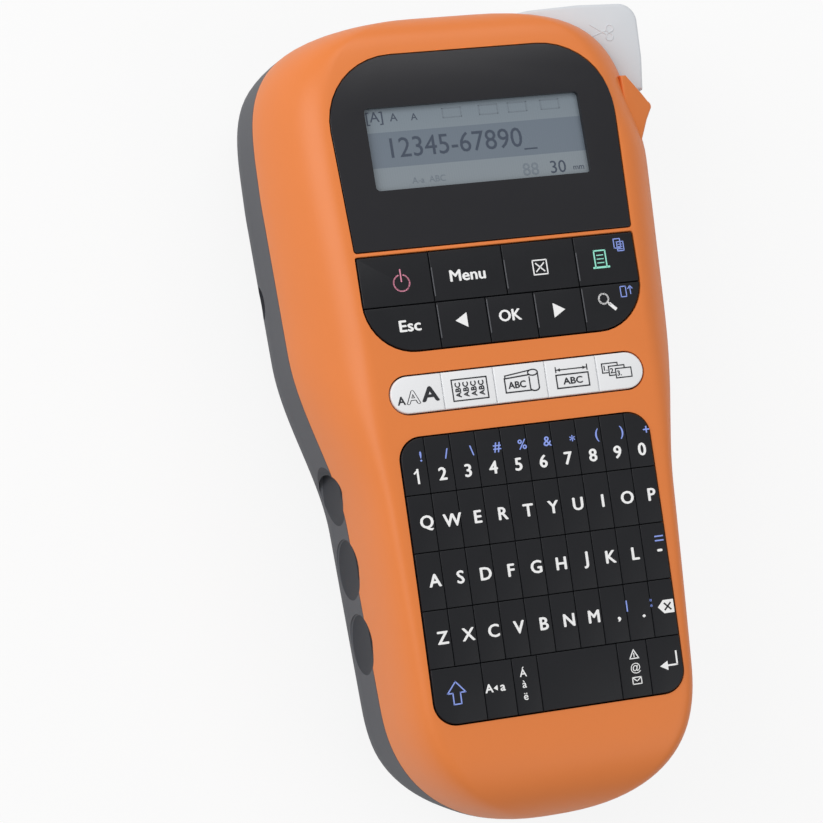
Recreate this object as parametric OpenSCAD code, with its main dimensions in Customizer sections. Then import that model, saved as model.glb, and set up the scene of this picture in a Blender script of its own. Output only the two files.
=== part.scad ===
// Hand-held label maker: keyboard, display, tape cassette, printer, cutter lever and battery bay.
// It lies on its back: +Z comes out of the keyboard face, +Y points to the cutter end, +X to the right.
// The origin is on the flat back face. Millimetres.

/* [Casing] */
// Overall depth, back face to the crown of the keyboard face
body_d = 59; // [54:0.5:68]
// Y of the casing's cutter end
top_y = 105; // [100:0.5:112]
// Y of the casing's grip end
bottom_y = -104; // [-112:0.5:-100]
// Width across the head at the seam
head_w = 106; // [102:0.5:116]
// Width across the grip at the seam, near its end
grip_w = 80.2; // [79:0.2:92]
// Height of the seam between front and rear shell
seam_z = 33; // [31:0.5:37]
// Wall thickness of the shells
wall = 2.2; // [1.8:0.1:2.6]
// Radius of the lengthwise crown of the face
crown_r = 1525; // [1200:25:3000]
// Y of the highest line of the crowned face
crown_y = -26; // [-40:1:-10]

/* [Display] */
// Half width of the glossy panel at the display
panel_half_w = 38.6; // [36:0.1:39.2]
// Thickness of the glossy panel
panel_t = 1.6; // [1.2:0.1:2]
// Width of the display window
window_w = 58.6; // [50:0.2:60]
// Height of the display window
window_h = 21.6; // [18:0.2:24]
// Y of the middle of the display window
window_y = 69.3; // [67:0.1:71]

/* [Keys] */
// Column pitch of the character keys
key_pitch_x = 6.8; // [6.2:0.05:6.9]
// Row pitch of the character keys
key_pitch_y = 14.5; // [13:0.1:14.6]
// Groove between neighbouring keys
key_groove = 0.5; // [0.4:0.05:0.8]
// Height that the keys stand above the face
key_proud = 0.5; // [0.2:0.1:1]
// Travel of every key
key_travel = 0.8; // [0.5:0.1:1]
// Clearance between a key and what it passes through
key_gap = 0.3; // [0.25:0.05:0.4]

/* [Printing] */
// Module of all gear teeth
gear_m = 0.7; // [0.6:0.05:0.7]
// Radius of the rubber platen roller
platen_r = 4.5; // [4:0.1:4.8]
// Width of the label tape
tape_w = 12; // [9:1:12]
// Radius of the shafts and pins
shaft_r = 1.5; // [1.2:0.1:1.6]
// Radial running clearance of a shaft in its bore
run_gap = 0.06; // [0.04:0.01:0.08]

/* [Batteries] */
// Diameter of one cell
cell_d = 10.5; // [10:0.1:10.6]
// Length of one cell
cell_l = 44.5; // [44:0.1:45]
// Number of cells side by side
cell_n = 6; // [4:1:6]

/* [Hidden] */
$fn = 48;

// ---- casing shape
mid_y = (top_y + bottom_y) / 2;
half_l = (top_y - bottom_y) / 2;
grip_y = -67;              // where the grip's width is stated
grip_taper = 0.045;        // how fast the grip widens towards the head, each side
head_y = 62;               // where the head reaches its full width
head_taper = 0.04;         // how fast the head widens towards it, each side
waist_y = [-24, 22];       // the shoulder between grip and head
head_end = 38;             // length over which the head's end closes in plan
grip_end = 34;             // the same for the grip's end
head_end_n = 3.5;          // squareness of the head's end in plan
grip_end_n = 2.4;          // squareness of the grip's end in plan
face_roll = [22, 12];      // length over which the face rolls down at the grip and head ends
face_roll_n = [2.9, 3.4];  // squareness of that roll
back_roll = [24, 15];      // the same for the back
back_side_w = 16;          // width of the rounding along the back
back_side_h = 21;          // height of the rounding along the back
edge_w = [7, 14.3];        // width of the rounding along the face at the grip and the head
edge_n = [2.9, 1.75];      // squareness of that rounding
arc_steps = 6;             // facets in each rounding of a cross-section
end_steps = 8;             // cross-sections in each rounded end
mid_steps = 11;            // cross-sections between the ends

function lerp(a, b, t) = a + (b - a) * t;
function ease(t) = let (u = min(max(t, 0), 1)) u * u * (3 - 2 * u);
function closing(t, n) = t <= 0 ? 1 : pow(max(1 - pow(min(t, 1), n), 0), 1 / n);
function shoulder(y) = ease((y - waist_y[0]) / (waist_y[1] - waist_y[0]));
function grip_half(y) = grip_w / 2 + grip_taper * (y - grip_y);
function head_half(y) = head_w / 2 - head_taper * max(0, head_y - y);
function plan_end(y) =
  closing((y - top_y + head_end) / head_end, head_end_n)
  * closing((bottom_y + grip_end - y) / grip_end, grip_end_n);
function half_w(y) = lerp(grip_half(y), head_half(y), shoulder(y)) * plan_end(y);
function crown(y) = body_d - pow(y - crown_y, 2) / (2 * crown_r);
function face_z(y) = seam_z + (crown(y) - seam_z)
  * closing((y - top_y + face_roll[1]) / face_roll[1], face_roll_n[1])
  * closing((bottom_y + face_roll[0] - y) / face_roll[0], face_roll_n[0]);
function back_z(y) = seam_z * (1
  - closing((y - top_y + back_roll[1]) / back_roll[1], 2)
  * closing((bottom_y + back_roll[0] - y) / back_roll[0], 2));

// One half of a cross-section, from the back's middle line up to the face's middle line.
function half_section(y, inset) =
  let (
    hw = max(half_w(y) - inset, 0.4),
    flat_f = max(half_w(y) - lerp(edge_w[0], edge_w[1], shoulder(y)), 0),
    flat_b = max(half_w(y) - back_side_w, 0),
    n = lerp(edge_n[0], edge_n[1], shoulder(y)),
    zf = max(face_z(y) - inset, seam_z + 0.2),
    zb = min(back_z(y) + inset, seam_z - 0.2),
    zr = min(zb + back_side_h - inset, seam_z - 0.1)
  )
  concat(
    [for (i = [0:arc_steps]) let (a = 90 * i / arc_steps)
      [lerp(min(flat_b, hw), hw, sin(a)), lerp(zr, zb, cos(a))]],
    [for (i = [0:arc_steps]) let (a = 90 * i / arc_steps)
      [lerp(min(flat_f, hw), hw, pow(cos(a), 2 / n)), lerp(seam_z, zf, pow(sin(a), 2 / n))]]
  );

// The cross-section as a closed ring of points, moved lengthwise with the inset.
function ring(y, inset) =
  let (
    h = half_section(y, inset),
    at = mid_y + (y - mid_y) * (half_l - inset) / half_l
  )
  concat([for (p = h) [p.x, at, p.y]], [for (i = [len(h) - 1:-1:0]) [-h[i].x, at, h[i].y]]);

slice_y = concat(
  [for (i = [0:end_steps]) bottom_y + grip_end - (grip_end - 0.01) * cos(90 * i / end_steps)],
  [for (i = [1:mid_steps]) lerp(bottom_y + grip_end, top_y - head_end, i / (mid_steps + 1))],
  [for (i = [0:end_steps]) top_y - head_end + (head_end - 0.01) * sin(90 * i / end_steps)]
);

// The whole casing as one solid, drawn in by an inset.
module casing(inset = 0) {
  for (i = [1:len(slice_y) - 1]) {
    points = concat(ring(slice_y[i - 1], inset), ring(slice_y[i], inset));
    n = len(points) / 2;
    hull() polyhedron(points, [[for (k = [0:n - 1]) k], [for (k = [0:n - 1]) n + k]]);
  }
}

big = 300;
module above(z) { translate([-big / 2, -big / 2, z]) cube([big, big, big]); }
module below(z) { translate([-big / 2, -big / 2, z - big]) cube([big, big, big]); }
module block(lo, hi) { translate(lo) cube(hi - lo); }

// ---- outlines on the face
function arc(c, r, a0, n = 6) = [for (i = [0:n]) let (a = a0 + 90 * i / n) c + r * [cos(a), sin(a)]];
function rounded(x0, x1, y0, y1, low_r, high_r) =
  let (rb = max(low_r, 0.2), rt = max(high_r, 0.2))
  concat(arc([x1 - rb, y0 + rb], rb, -90), arc([x1 - rt, y1 - rt], rt, 0),
    arc([x0 + rt, y1 - rt], rt, 90), arc([x0 + rb, y0 + rb], rb, 180));
function tapered(p, k, y0) = [for (q = p) [q.x * (1 + k * (q.y - y0)), q.y]];

bar_y = [42.1, 43.3];      // the thin bar between the display panel and the function keys
panel_top_y = 93.6;
panel_corner_r = 19;
panel_taper = 0.0009;
panel_gap = 0.3;           // gap around the glossy panel
panel_mid_y = (bar_y[1] + panel_top_y) / 2;
function panel_outline(grow) = tapered(
  rounded(-panel_half_w - grow, panel_half_w + grow, bar_y[1] - grow, panel_top_y + grow,
    0.6 + grow, panel_corner_r + grow), panel_taper, 72);

pad_half_w = panel_half_w - 0.8;
pad_low_y = 16.9;
pad_corner_r = 13;
pad_row_y = 28.9;          // groove between the two rows of function keys
pad_mid_y = (bar_y[0] + pad_low_y) / 2;
pad_x_upper = [-18.5, 1.2, 21];
pad_x_lower = [-18.5, -5.1, 7.9, 21];
function pad_outline(grow) =
  rounded(-pad_half_w - grow, pad_half_w + grow, pad_low_y - grow, bar_y[0] + grow,
    pad_corner_r + grow, 0.6 + grow);

strip_mid = [0.3, 6.2];
strip_half_w = 34.6;
strip_r = 5;
strip_pitch = 14;
function strip_outline(grow) = rounded(
  strip_mid.x - strip_half_w - grow, strip_mid.x + strip_half_w + grow,
  strip_mid.y - strip_r - grow, strip_mid.y + strip_r + grow, strip_r + grow, strip_r + grow);

key_top_y = -4.5;
key_cols = 10;
key_rows = 5;
keypad_half_w = key_cols * key_pitch_x / 2;
keypad_low_y = key_top_y - key_rows * key_pitch_y;
keypad_corner_r = 6;
function keypad_outline(grow) =
  rounded(-keypad_half_w - grow, keypad_half_w + grow, keypad_low_y - grow, key_top_y + grow,
    keypad_corner_r + grow, keypad_corner_r + grow);

// Children drawn at the face, with its slope at that Y.
module on_face(y) {
  translate([0, y, crown(y)])
    rotate([atan(-(y - crown_y) / crown_r), 0, 0])
      translate([0, -y, 0])
        children();
}
module prism(points, z0, z1) { translate([0, 0, z0]) linear_extrude(z1 - z0) polygon(points); }

// ---- stack under the keys
board_top = 52.4;
board_t = 1.6;
mat_t = 0.9;
mat_top = board_top + mat_t;
key_foot = mat_top + key_travel + 0.45;
board_x = 34.4;
board_y = [keypad_low_y + 0.6, bar_y[0] + 0.9];

// One key: the cell [x0, x1] by [y0, y1] of its pad's outline, standing on key_foot.
module key_cell(outline, y, x0, x1, y0, y1) {
  on_face(y)
    translate([0, 0, key_foot - crown(y)])
      linear_extrude(key_proud + crown(y) - key_foot)
        intersection() {
          polygon(outline);
          translate([x0 + key_groove / 2, y0 + key_groove / 2])
            square([x1 - x0 - key_groove, y1 - y0 - key_groove]);
        }
}
far = 60;
module function_key(row, i) {
  xs = row == 0 ? pad_x_upper : pad_x_lower;
  x0 = i == 0 ? -far : xs[i - 1];
  x1 = i == len(xs) ? far : xs[i];
  color("dimgray")
    key_cell(pad_outline(-key_gap), pad_mid_y, x0, x1,
      row == 0 ? pad_row_y : -far, row == 0 ? far : pad_row_y);
}
module label_key(i) {
  x0 = i == 0 ? -far : strip_mid.x + (i - 2.5) * strip_pitch + 0.6;
  x1 = i == 4 ? far : strip_mid.x + (i - 1.5) * strip_pitch + 0.6;
  color("white")
    key_cell(strip_outline(-key_gap), strip_mid.y, x0, x1, -far, far);
}
function row_y(row) = key_top_y - (row + 0.5) * key_pitch_y;
module character_key(row, c0, c1) {
  color("dimgray")
    key_cell(keypad_outline(-key_gap), row_y(row),
      -keypad_half_w + c0 * key_pitch_x, -keypad_half_w + c1 * key_pitch_x,
      row_y(row) - key_pitch_y / 2, row_y(row) + key_pitch_y / 2);
}
module key_row(row) { for (c = [0:key_cols - 1]) character_key(row, c, c + 1); }
bottom_row = [0, 2, 3.2, 4.2, 7.4, 8.6, 10];

// ---- casing pieces
screw_at = [[-33, 95.4], [41, 50], [-39, 8], [39, 8], [-28, -83.2], [28, -83.2]];
screw_seat_z = 24;
screw_r = 1.15;
screw_head_r = 2.4;
screw_len = 17;
boss_r = 3.2;
cover_inset = 8;           // from the casing's outline to the cover's edge
cover_y = [-77.5, 86];
cover_gap = 0.3;
ledge_w = 1.8;
ledge_t = 1.5;
cover_steps = 14;
scoop_at = [-15, -34.5, -54];
scoop_size = [1.5, 8.2, 9.5];
slot_at = [78, 11.6];      // Y and Z of the middle of the label exit
slot_size = [5, 14];
jack_at = [38, 16];
jack_r = 4.4;
notch_x = [-1.5, 8];       // pry notch in the front shell's lower end
notch_h = 2.6;

function cover_side(grow) = [for (i = [0:cover_steps]) let (y = lerp(cover_y[0], cover_y[1], i / cover_steps))
  [half_w(y) - cover_inset + grow, y + (i == 0 ? -grow : i == cover_steps ? grow : 0)]];
function cover_outline(grow) = let (r = cover_side(grow))
  concat(r, [for (i = [cover_steps:-1:0]) [-r[i].x, r[i].y]]);

module scoops() {
  for (side = [-1, 1], y = scoop_at)
    translate([side * (half_w(y) + 0.2), y, seam_z - 5.5]) scale(scoop_size) sphere(1, $fn = 24);
}

// The corner that the cutter lever fills: a window through both shells.
window_z = [19.6, 43.4];
module lever_window() {
  block([13, 87, window_z[0]], [60, top_y + 10, window_z[1]]);
  block([40, 75.4, window_z[0]], [60, top_y + 10, window_z[1]]);
}
corner_mid = [22, 66];
corner_size = [28, 37.6];
function corner_arc(grow) = [for (i = [0:10]) corner_mid
  + [(corner_size.x + grow) * cos(9 * i), (corner_size.y + grow) * sin(9 * i)]];

module front_shell() {
  color("darkorange")
    difference() {
      union() {
        difference() {
          casing();
          casing(wall);
          prism(concat([[60, 66], [60, 120], [22, 120]], [for (i = [10:-1:0]) corner_arc(0)[i]]),
            window_z[1] - 1, body_d + 5);
        }
        intersection() {
          casing(wall / 2);
          prism(concat(corner_arc(-wall), [for (i = [10:-1:0]) corner_arc(0)[i]]), window_z[1], body_d);
        }
        intersection() {
          casing(wall / 2);
          union() {
            for (p = screw_at)
              translate([p.x, p.y, seam_z - 1]) cylinder(h = crown(p.y) - seam_z - panel_t, r = boss_r, $fn = 32);
            on_face(panel_mid_y) prism(panel_outline(1.6), -panel_t - ledge_t, -0.6);
          }
        }
      }
      below(seam_z);
      on_face(panel_mid_y) {
        prism(panel_outline(panel_gap), -panel_t, 10);
        prism(panel_outline(-ledge_w), -10, 10);
      }
      prism(pad_outline(0), board_top - 2, body_d + 5);
      prism(strip_outline(0), board_top - 2, body_d + 5);
      prism(keypad_outline(0), board_top - 2, body_d + 5);
      for (p = screw_at) translate([p.x, p.y, seam_z - 1]) cylinder(h = 11, r = screw_r + 0.1, $fn = 24);
      scoops();
      lever_window();
      block([notch_x[0], bottom_y - 5, seam_z - 1], [notch_x[1], bottom_y + 8, seam_z + notch_h]);
    }
}

module rear_shell() {
  color("dimgray")
    difference() {
      union() {
        difference() {
          casing();
          casing(wall);
        }
        intersection() {
          casing(wall / 2);
          union() {
            for (p = screw_at) translate([p.x, p.y, 0.37]) cylinder(h = seam_z, r = boss_r, $fn = 32);
            prism(cover_outline(ledge_w), wall + 0.2, wall + 0.2 + ledge_t);
          }
        }
      }
      above(seam_z);
      prism(cover_outline(cover_gap), -5, wall + 0.2);
      prism(cover_outline(-ledge_w), -5, wall + 0.3 + ledge_t);
      for (p = screw_at) {
        translate([p.x, p.y, -1]) cylinder(h = screw_seat_z + 1, r = screw_head_r + 0.3, $fn = 24);
        translate([p.x, p.y, -1]) cylinder(h = seam_z + 3, r = screw_r + 0.25, $fn = 24);
      }
      scoops();
      lever_window();
      block([40, slot_at[0] - slot_size[0] / 2, slot_at[1] - slot_size[1] / 2],
        [60, slot_at[0] + slot_size[0] / 2, slot_at[1] + slot_size[1] / 2]);
      translate([-60, jack_at[0], jack_at[1]]) rotate([0, 90, 0]) cylinder(h = 14, r = jack_r);
    }
}

module back_cover() {
  color("dimgray")
    intersection() {
      difference() {
        casing();
        casing(wall);
      }
      prism(cover_outline(0), -1, wall + 0.1);
    }
}

module display_panel() {
  color("black")
    difference() {
      on_face(panel_mid_y) prism(panel_outline(0), -panel_t + 0.02, -0.02);
      on_face(panel_mid_y)
        translate([-window_w / 2, window_y - window_h / 2, -5]) cube([window_w, window_h, 10]);
    }
}

// ---- display
lcd_w = 63;
lcd_y = [56.5, 82.5];
lcd_t = 3.6;
lcd_sink = 0.5;
module lcd_module() {
  color("slategray")
    on_face(panel_mid_y)
      difference() {
        block([-lcd_w / 2, lcd_y[0], -panel_t - lcd_t], [lcd_w / 2, lcd_y[1], -panel_t - 0.02]);
        block([-window_w / 2 - 0.5, window_y - window_h / 2 - 0.5, -panel_t - lcd_sink],
          [window_w / 2 + 0.5, window_y + window_h / 2 + 0.5, 1]);
      }
}
ribbon_w = 18;
ribbon_t = 0.3;
module lcd_ribbon() {
  y0 = board_y[1] - 3;
  y1 = lcd_y[0] + 3;
  z0 = board_top - board_t - ribbon_t;
  z1 = crown(y1) - panel_t - lcd_t - ribbon_t - 0.15;
  mid = [(y0 + y1) / 2, min(z0, z1) - 1.6];
  color("sienna")
    translate([ribbon_w / 2, 0, 0])
      rotate([90, 0, -90])
        linear_extrude(ribbon_w)
          mirror([1, 0, 0])
            polygon([[y0, z0], mid, [y1, z1], [y1, z1 + ribbon_t], mid + [0, ribbon_t], [y0, z0 + ribbon_t]]);
}

// ---- keys and their board
module key_mat() {
  color("black")
    block([-board_x, board_y[0], board_top], [board_x, board_y[1] - 0.4, mat_top]);
}
module main_board() {
  color("darkgreen")
    block([-board_x, board_y[0], board_top - board_t], [board_x, board_y[1], board_top]);
}
module board_parts() {
  z = board_top - board_t;
  color("black") {
    block([-9, -34, z - 1.8], [9, -16, z]);
    block([12, -30, z - 1.4], [22, -20, z]);
    block([-24, -6, z - 1.2], [-14, 2, z]);
    for (x = [-20, -14, 14, 20]) translate([x, -56, z - 8]) cylinder(h = 8, r = 2.5);
    block([-10, 30, z - 2.4], [10, 33, z]);
  }
}

// ---- frame inside
deck_z = [24, 26.5];
tray_z = [15.2, 17.2];
tray_y = [-73, -19];
tray_x = 35;
lever_at = [-15, 95];
gear_z = [27.2, 32.2];
plate_z = [33, 34.2];
idler_teeth = 36;
platen_teeth = 24;
takeup_teeth = 22;
pinion_teeth = 12;
tape_y = 77.9;
platen_at = [30, tape_y + platen_r + 0.2];
idler_dir = 211;           // from the platen towards the idler
pinion_dir = 280;          // from the idler towards the motor pinion
takeup_dir = 180;          // from the idler towards the take-up spindle
function spacing(a, b) = gear_m * (a + b) / 2 + 0.05;
function towards(p, d, r) = p + r * [cos(d), sin(d)];
idler_at = towards(platen_at, idler_dir, spacing(platen_teeth, idler_teeth));
pinion_at = towards(idler_at, pinion_dir, spacing(idler_teeth, pinion_teeth));
takeup_at = towards(idler_at, takeup_dir, spacing(idler_teeth, takeup_teeth));
spindle_r = 2.6;
plate_posts = [[-24, 82], [-22, 52], [29, 61]];
board_posts = [[-30, -10], [30, -10], [-30, 22], [30, 22]];
tray_posts = [[-30, -66], [30, -66]];
ear_at = [screw_at[2], screw_at[3]];

module bore(p, z0, z1, r) { translate([p.x, p.y, z0]) cylinder(h = z1 - z0, r = r); }

module chassis() {
  color("gainsboro")
    difference() {
      union() {
        block([-43, 30, deck_z[0]], [34.5, 88, deck_z[1]]);
        block([-34, tray_y[1] - 2, deck_z[0]], [34, 31, deck_z[1]]);
        block([lever_at.x - 6, 87, deck_z[0]], [lever_at.x + 6, 99, deck_z[1]]);
        block([30, 62, deck_z[0]], [39, 70, deck_z[1]]);
        block([34.6, 64, slot_at[1] - 7], [39, 69.9, deck_z[1]]);
        bore(lever_at, deck_z[0], deck_z[1] + 3, 4);
        block([-tray_x, tray_y[1] - 2, tray_z[1]], [tray_x, tray_y[1], deck_z[1]]);
        for (p = plate_posts) bore(p, deck_z[0], plate_z[0], 2.5);
        for (p = board_posts) bore(p, deck_z[0], board_top - board_t, 2.2);
        for (p = ear_at) bore(p, deck_z[0], deck_z[1], boss_r + 2.4);
      }
      for (p = ear_at) bore(p, 0, 60, boss_r + 0.2);
      bore(lever_at, 0, 60, shaft_r + run_gap);
      bore(idler_at, 0, 60, shaft_r + run_gap);
      bore(platen_at, 0, 60, shaft_r + run_gap);
      bore(takeup_at, 0, 60, spindle_r + run_gap);
    }
}
module battery_tray() {
  color("gainsboro") {
    block([-tray_x, tray_y[0], tray_z[0]], [tray_x, tray_y[1], tray_z[1]]);
    for (y = [tray_y[0], tray_y[1] - 2])
      block([-tray_x + 3.4, y, wall + ledge_t + 2.4], [tray_x - 3.4, y + 2, tray_z[1]]);
    for (p = tray_posts) bore(p, tray_z[0], board_top - board_t, 2.2);
  }
}
module gear_plate() {
  color("silver")
    difference() {
      block([-28, 46, plate_z[0]], [35.5, 88.2, plate_z[1]]);
      bore(idler_at, 0, 60, shaft_r + run_gap);
      bore(platen_at, 0, 60, shaft_r + run_gap);
      bore(takeup_at, 0, 60, shaft_r + run_gap);
      bore(pinion_at, 0, 60, 2.4);
    }
}

// ---- gears: involute teeth, backlash shared by both gears of a pair
pressure = 20;
backlash = 0.16;
function invol(rb, t) = [rb * (cos(t) + t * PI / 180 * sin(t)), rb * (sin(t) - t * PI / 180 * cos(t))];
function flank_angle(rb, r) = sqrt(max(r * r / (rb * rb) - 1, 0)) * 180 / PI;
function turn(p, a) = [p.x * cos(a) - p.y * sin(a), p.x * sin(a) + p.y * cos(a)];
function tooth(teeth) =
  let (
    rp = gear_m * teeth / 2,
    rb = rp * cos(pressure),
    ra = rp + gear_m * 0.95,
    rf = rp - gear_m * 1.2,
    tp = flank_angle(rb, rp),
    at = atan2(invol(rb, tp).y, invol(rb, tp).x),
    half = 90 / teeth - (backlash / 2) / rp * 180 / PI,
    ta = flank_angle(rb, ra),
    up = [for (i = [0:4]) turn(invol(rb, ta * i / 4), -half - at)]
  )
  concat([turn([rf, 0], atan2(up[0].y, up[0].x))], up,
    [for (i = [4:-1:0]) [up[i].x, -up[i].y]], [turn([rf, 0], -atan2(up[0].y, up[0].x))]);
function gear_outline(teeth, phase) =
  [for (k = [0:teeth - 1], p = tooth(teeth)) turn(p, phase + 360 * k / teeth)];
// A driven gear's phase, so that its gap meets the idler's tooth.
function mesh_phase(dir, teeth) = dir + 180 - 180 / teeth + dir * idler_teeth / teeth;

module gear(p, teeth, phase, hole) {
  translate([p.x, p.y, gear_z[0]])
    linear_extrude(gear_z[1] - gear_z[0])
      difference() {
        polygon(gear_outline(teeth, phase));
        circle(r = hole);
      }
}
module idler_gear() { color("ivory") gear(idler_at, idler_teeth, 0, shaft_r + run_gap); }
module idler_pin() { color("silver") bore(idler_at, deck_z[0] + 0.5, plate_z[1], shaft_r); }
module platen_gear() {
  color("ivory") gear(platen_at, platen_teeth, mesh_phase(idler_dir - 180, platen_teeth), shaft_r + 0.02);
}
module platen_shaft() { color("silver") bore(platen_at, slot_at[1] - 7.4, plate_z[1], shaft_r); }
module platen_roller() {
  color("black")
    difference() {
      bore(platen_at, slot_at[1] - 6.8, slot_at[1] + 6.8, platen_r);
      bore(platen_at, 0, 60, shaft_r + 0.02);
    }
}
motor_r = 7.5;
motor_h = 13;
motor_shaft_r = 1;
module motor() {
  color("silver")
    difference() {
      union() {
        bore(pinion_at, plate_z[1], plate_z[1] + motor_h, motor_r);
        bore(pinion_at, plate_z[0] + 0.1, plate_z[1] + 0.1, 2.2);
      }
      bore(pinion_at, 0, plate_z[1] + 9, motor_shaft_r + run_gap);
    }
}
module motor_pinion() {
  color("goldenrod") {
    gear(pinion_at, pinion_teeth, mesh_phase(pinion_dir, pinion_teeth), motor_shaft_r / 2);
    bore(pinion_at, gear_z[0], plate_z[1] + 8, motor_shaft_r);
  }
}
module takeup_spindle() {
  color("ivory") {
    gear(takeup_at, takeup_teeth, mesh_phase(takeup_dir, takeup_teeth), 1);
    bore(takeup_at, slot_at[1] - 6, gear_z[1] - 1, spindle_r);
    bore(takeup_at, gear_z[1] - 1, plate_z[1], shaft_r);
    for (a = [0:60:300])
      translate([takeup_at.x, takeup_at.y, slot_at[1] - 6]) rotate([0, 0, a])
        translate([2, -0.4, 0]) cube([1.4, 0.8, 14]);
  }
}

// ---- print head and tape
head_x = [platen_at.x - 3, platen_at.x + 3.5];
head_face_y = tape_y - 0.2;
module print_head() {
  color("white")
    block([head_x[0], head_face_y - 1.8, slot_at[1] - 7], [head_x[1], head_face_y, slot_at[1] + 7]);
}
module head_heatsink() {
  color("silver") {
    block([head_x[0], head_face_y - 3.8, slot_at[1] - 7], [head_x[1], head_face_y - 1.8, deck_z[0]]);
    for (i = [0:3])
      block([head_x[0] + i * 1.8, head_face_y - 6.4, slot_at[1] - 7],
        [head_x[0] + i * 1.8 + 0.9, head_face_y - 3.7, slot_at[1] + 7]);
  }
}
cassette_x = [-38, 23];
cassette_y = [34, 83];
cassette_z = [3.6, 20];
spool_at = [-20, 52];
spool_r = 15;
hub_r = 3.4;
module tape_cassette() {
  color("darkgray")
    difference() {
      block([cassette_x[0], cassette_y[0], cassette_z[0]], [cassette_x[1], cassette_y[1], cassette_z[1]]);
      block([12, tape_y - 5, 0], [30, cassette_y[1] + 1, 30]);
      block([-8, tape_y - 0.8, slot_at[1] - 6.6], [13, tape_y + 0.8, slot_at[1] + 6.6]);
      bore(takeup_at, 0, 30, 4.2);
      difference() {
        bore(spool_at, cassette_z[0] + 1.2, cassette_z[1] - 1.2, spool_r + 0.8);
        bore(spool_at, 0, 30, hub_r);
      }
      block([spool_at.x - 5, spool_at.y - 14, 0], [spool_at.x + 5, spool_at.y - 6, cassette_z[0] + 2]);
    }
}
module tape_spool() {
  color("white")
    difference() {
      bore(spool_at, cassette_z[0] + 1.5, cassette_z[1] - 1.5, spool_r);
      bore(spool_at, 0, 30, hub_r + run_gap);
    }
}
module label_tape() {
  color("white")
    block([-6, tape_y - 0.05, slot_at[1] - tape_w / 2], [35.7, tape_y + 0.05, slot_at[1] + tape_w / 2]);
}

// ---- cutter
blade_x = [37.2, 37.8];
blade_y = [80.2, 88];
arm_z = [34.6, 40.6];
lever_z = [20, 43];
lever_top_y = 105.4;
lever_side_x = 54.4;
module cutter_lever() {
  color("gainsboro")
    difference() {
      union() {
        bore(lever_at, arm_z[0], arm_z[1], 4);
        block([lever_at.x, lever_at.y - 2, arm_z[0]], [18, lever_at.y + 3.4, arm_z[1]]);
        prism(lever_outline(), lever_z[0], lever_z[1]);
        block([35.9, 84, lever_z[0]], [44, 97, gear_z[0] - 0.6]);
        block([blade_x[1], 83.2, slot_at[1] - 6.2], [blade_x[1] + 1.6, 86.6, lever_z[0] + 1]);
      }
      bore(lever_at, 0, 60, shaft_r + run_gap);
    }
}
function lever_outline() = concat(
  [[14, 98.6], [32, 97.2], [40, 93.4], [45.5, 86.4], [46.5, 81.4], [lever_side_x - 1.2, 81.4],
   [lever_side_x - 0.2, 90]],
  arc([lever_side_x - 5, lever_top_y - 5.4], 5, 0),
  [[38, lever_top_y], [24, lever_top_y - 0.5], [14, lever_top_y - 2]]);
module lever_pin() { color("silver") bore(lever_at, deck_z[0] + 0.3, arm_z[1] + 0.6, shaft_r); }
coil_r = 2.9;
wire_r = 0.35;
module lever_spring() {
  z0 = deck_z[1] + 3.4;
  color("silver")
    translate([lever_at.x, lever_at.y, z0]) {
      for (i = [0:3])
        translate([0, 0, i])
          difference() {
            cylinder(h = 2 * wire_r, r = coil_r + wire_r);
            translate([0, 0, -1]) cylinder(h = 3, r = coil_r - wire_r);
          }
      block([-coil_r - wire_r, -wire_r, 0.1], [-coil_r + wire_r, wire_r, 3.6]);
      block([0, coil_r - wire_r, 0], [9, coil_r + wire_r, 2 * wire_r]);
      block([0, -coil_r - wire_r, 3], [9, -coil_r + wire_r, 3 + 2 * wire_r]);
    }
}
module cutter_blade() {
  color("silver")
    translate([blade_x[0], 0, 0])
      rotate([90, 0, 90])
        linear_extrude(blade_x[1] - blade_x[0])
          polygon([[blade_y[0], slot_at[1] - 6.5], [blade_y[0] + 1.2, slot_at[1] + 6.5],
            [blade_y[1], slot_at[1] + 6.5], [blade_y[1], slot_at[1] - 6.5]]);
}
module cutter_anvil() {
  color("white") block([34.6, 69.9, slot_at[1] - 7], [39, 75.2, slot_at[1] + 7]);
}
guide_z = [44, 50.5];
module exit_guide() {
  color("chocolate")
    difference() {
      prism(concat([[47, 62], [48.1, 64.1]], arc([52.2, 76.6], 1.4, -20),
        [[51, 79.6], [46.3, 84.3], [44, 84.3], [44, 62]]), guide_z[0], guide_z[1]);
      casing();
    }
}

// ---- power
cell_pitch = cell_d + 0.5;
cell_z = wall + ledge_t + 0.5 + cell_d / 2;
cell_mid_y = (tray_y[0] + tray_y[1] - 2) / 2 + 1;
contact_t = 0.4;
module cell() {
  rotate([90, 0, 0]) {
    translate([0, 0, -cell_l / 2]) cylinder(h = cell_l - 1, r = cell_d / 2);
    translate([0, 0, cell_l / 2 - 1.1]) cylinder(h = 1.1, r = 1.9);
  }
}
module each_cell() {
  for (i = [0:cell_n - 1])
    translate([(i - (cell_n - 1) / 2) * cell_pitch, cell_mid_y, cell_z])
      rotate([0, 0, i % 2 * 180]) children();
}
module battery_cells() { color("steelblue") each_cell() cell(); }
module battery_contacts() {
  reach = (tray_y[1] - 2 - tray_y[0] - 2) / 2;
  color("silver")
    each_cell() {
      block([-3.6, -reach, -3], [3.6, -reach + contact_t, 4]);
      block([-3.6, reach - contact_t, -3], [3.6, reach, 4]);
      translate([0, reach - contact_t, 0]) rotate([90, 0, 0])
        cylinder(h = reach - contact_t - cell_l / 2 - 0.1, r1 = 2.9, r2 = 1.6);
      translate([0, -reach, 0]) rotate([-90, 0, 0]) cylinder(h = reach - cell_l / 2 - 0.1, r = 1.4);
    }
}
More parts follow.
